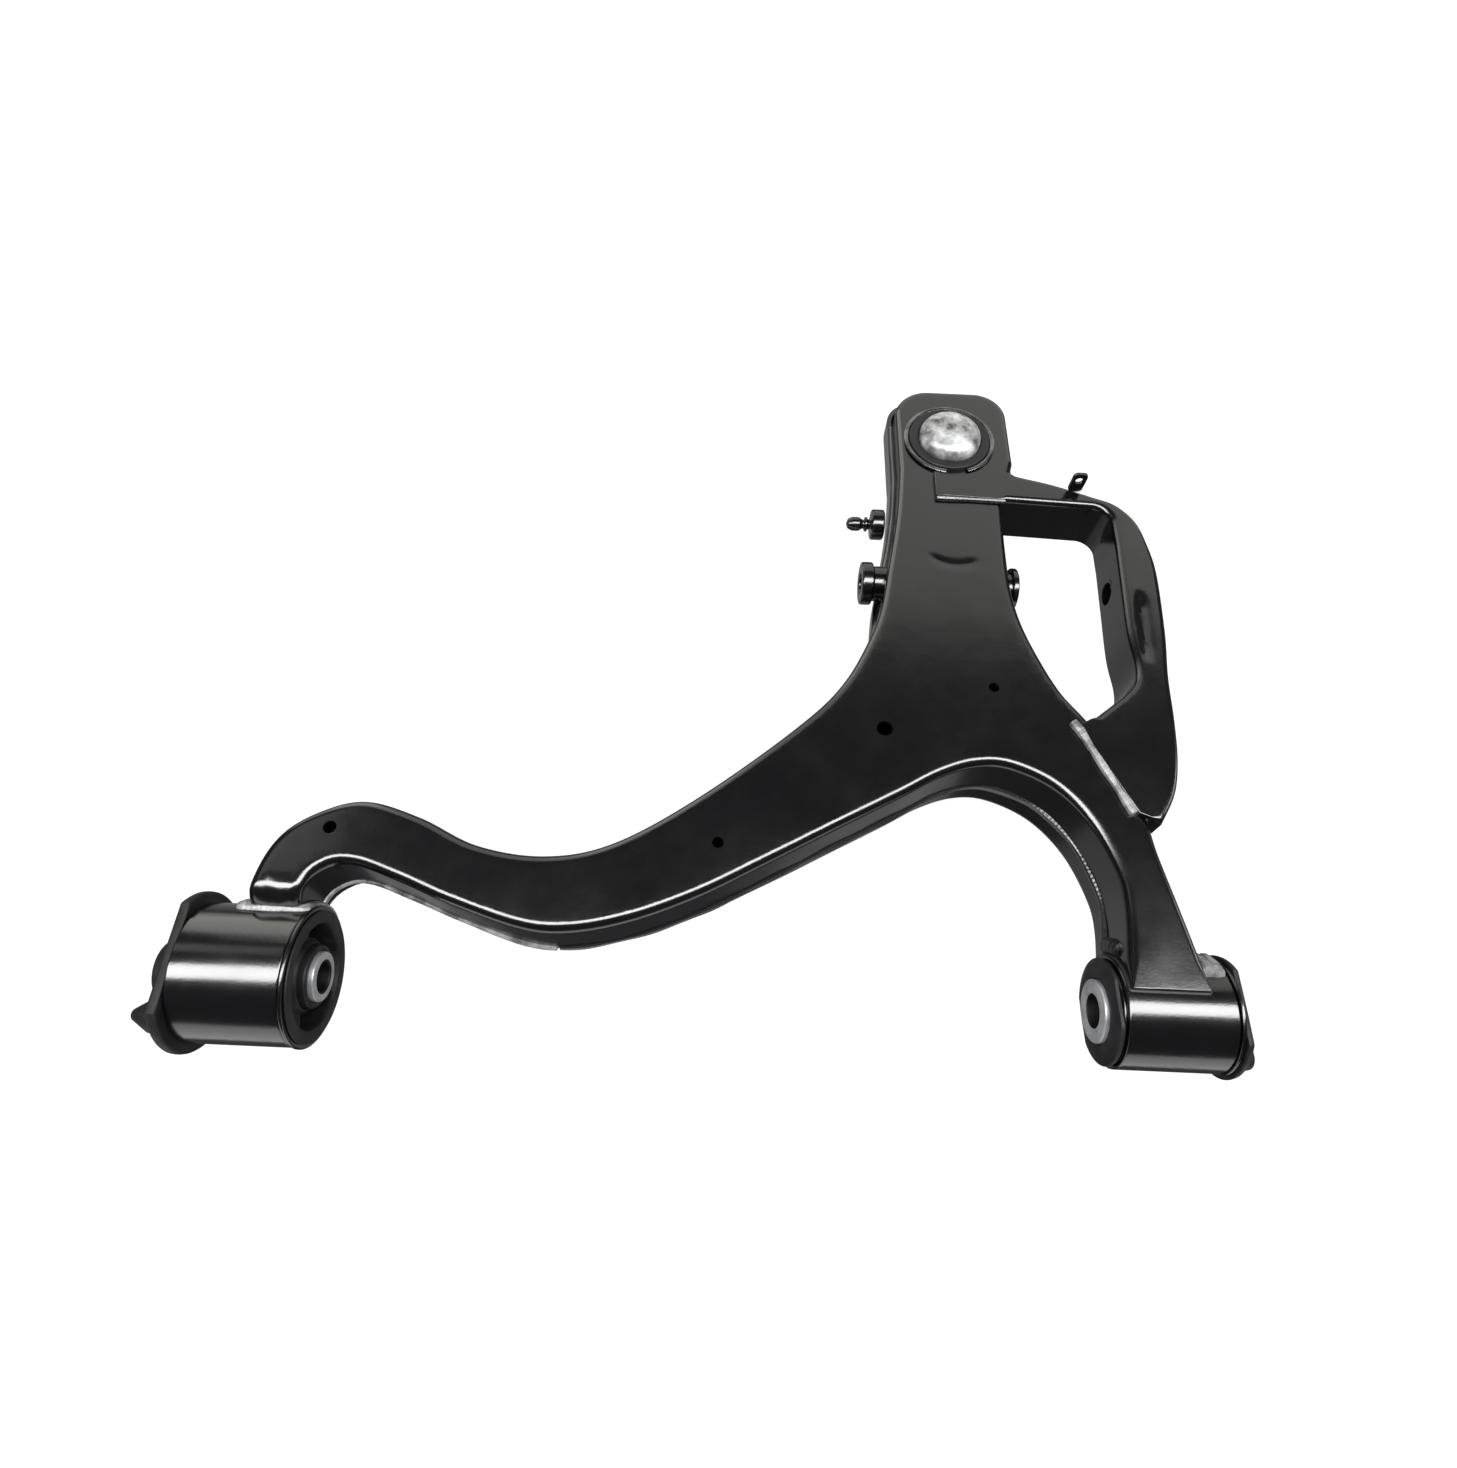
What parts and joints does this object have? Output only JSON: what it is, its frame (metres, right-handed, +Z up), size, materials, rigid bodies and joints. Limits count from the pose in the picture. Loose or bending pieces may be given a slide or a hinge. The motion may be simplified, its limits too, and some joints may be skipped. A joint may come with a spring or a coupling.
{
  "type": "suspension lower control arm",
  "caption": "Welded pressed-steel Y-shaped lower control arm with rubber hinge bushes on one axis, a damper brace loop and a ball joint with its stud pointing down.",
  "frame": {"origin": "centre of the bounding box's footprint, at the lowest point, which is the end of the ball stud", "axes": "+X along the hinge axis from the rear bush to the front bush, +Y outboard from the hinge axis to the ball joint, +Z up"},
  "size_m": [0.554, 0.458, 0.1276],
  "materials": {
    "paint": "semi-gloss black cataphoretic coat",
    "steel": "bright turned and zinc plated steel",
    "zinc": "bright zinc plating, smooth",
    "rubber": "satin moulded rubber",
    "liner": "natural acetal"
  },
  "bodies": {
    "arm": {"upper_shell": "paint", "lower_shell": "paint", "damper_brace": "paint", "harness_tab": "paint", "damper_bolt_tube": "paint", "damper_weld_nut": "paint", "damper_boss_ring": "paint", "sensor_stud_boss": "paint", "sensor_stud": "steel", "rear_bush_housing": "paint", "rear_bush_can": "paint", "rear_bush_rubber": "rubber", "front_bush_housing": "paint", "front_bush_can": "paint", "front_bush_rubber": "rubber", "ball_joint_housing": "paint", "ball_joint_cover": "zinc", "preload_disc": "rubber", "retaining_ring": "steel"},
    "rear_pivot": {"rear_bush_inner_sleeve": "steel", "rear_bush_bumper": "rubber"},
    "front_pivot": {"front_bush_inner_sleeve": "steel", "front_bush_thrust_ring": "rubber", "front_bush_bumper": "rubber"},
    "ball_swing": {"ball_liner": "liner", "dust_boot": "rubber", "boot_housing_ring": "steel"},
    "ball_tilt": {"boot_stud_ring": "steel"},
    "stud": {"ball_stud": "steel"}
  },
  "joints": [
    {"name": "rear_bush_hinge", "type": "hinge", "parent": "arm", "child": "rear_pivot", "pos_m": [-0.232, -0.189, 0.078], "axis": [1, 0, 0], "range_deg": [-20, 20], "stiffness_Nm_per_rad": 75},
    {"name": "front_bush_hinge", "type": "hinge", "parent": "arm", "child": "front_pivot", "pos_m": [0.237, -0.189, 0.078], "axis": [1, 0, 0], "range_deg": [-20, 20], "stiffness_Nm_per_rad": 60},
    {"name": "ball_swing_hinge", "type": "hinge", "parent": "arm", "child": "ball_swing", "pos_m": [0.1495, 0.177, 0.082], "axis": [0, 0, 1], "continuous": true},
    {"name": "ball_tilt_hinge", "type": "hinge", "parent": "ball_swing", "child": "ball_tilt", "pos_m": [0.1495, 0.177, 0.082], "axis": [1, 0, 0], "range_deg": [-20, 20], "deforming": ["dust_boot"]},
    {"name": "ball_spin_hinge", "type": "hinge", "parent": "ball_tilt", "child": "stud", "pos_m": [0.1495, 0.177, 0.082], "axis": [0, 0, 1], "continuous": true}
  ]
}
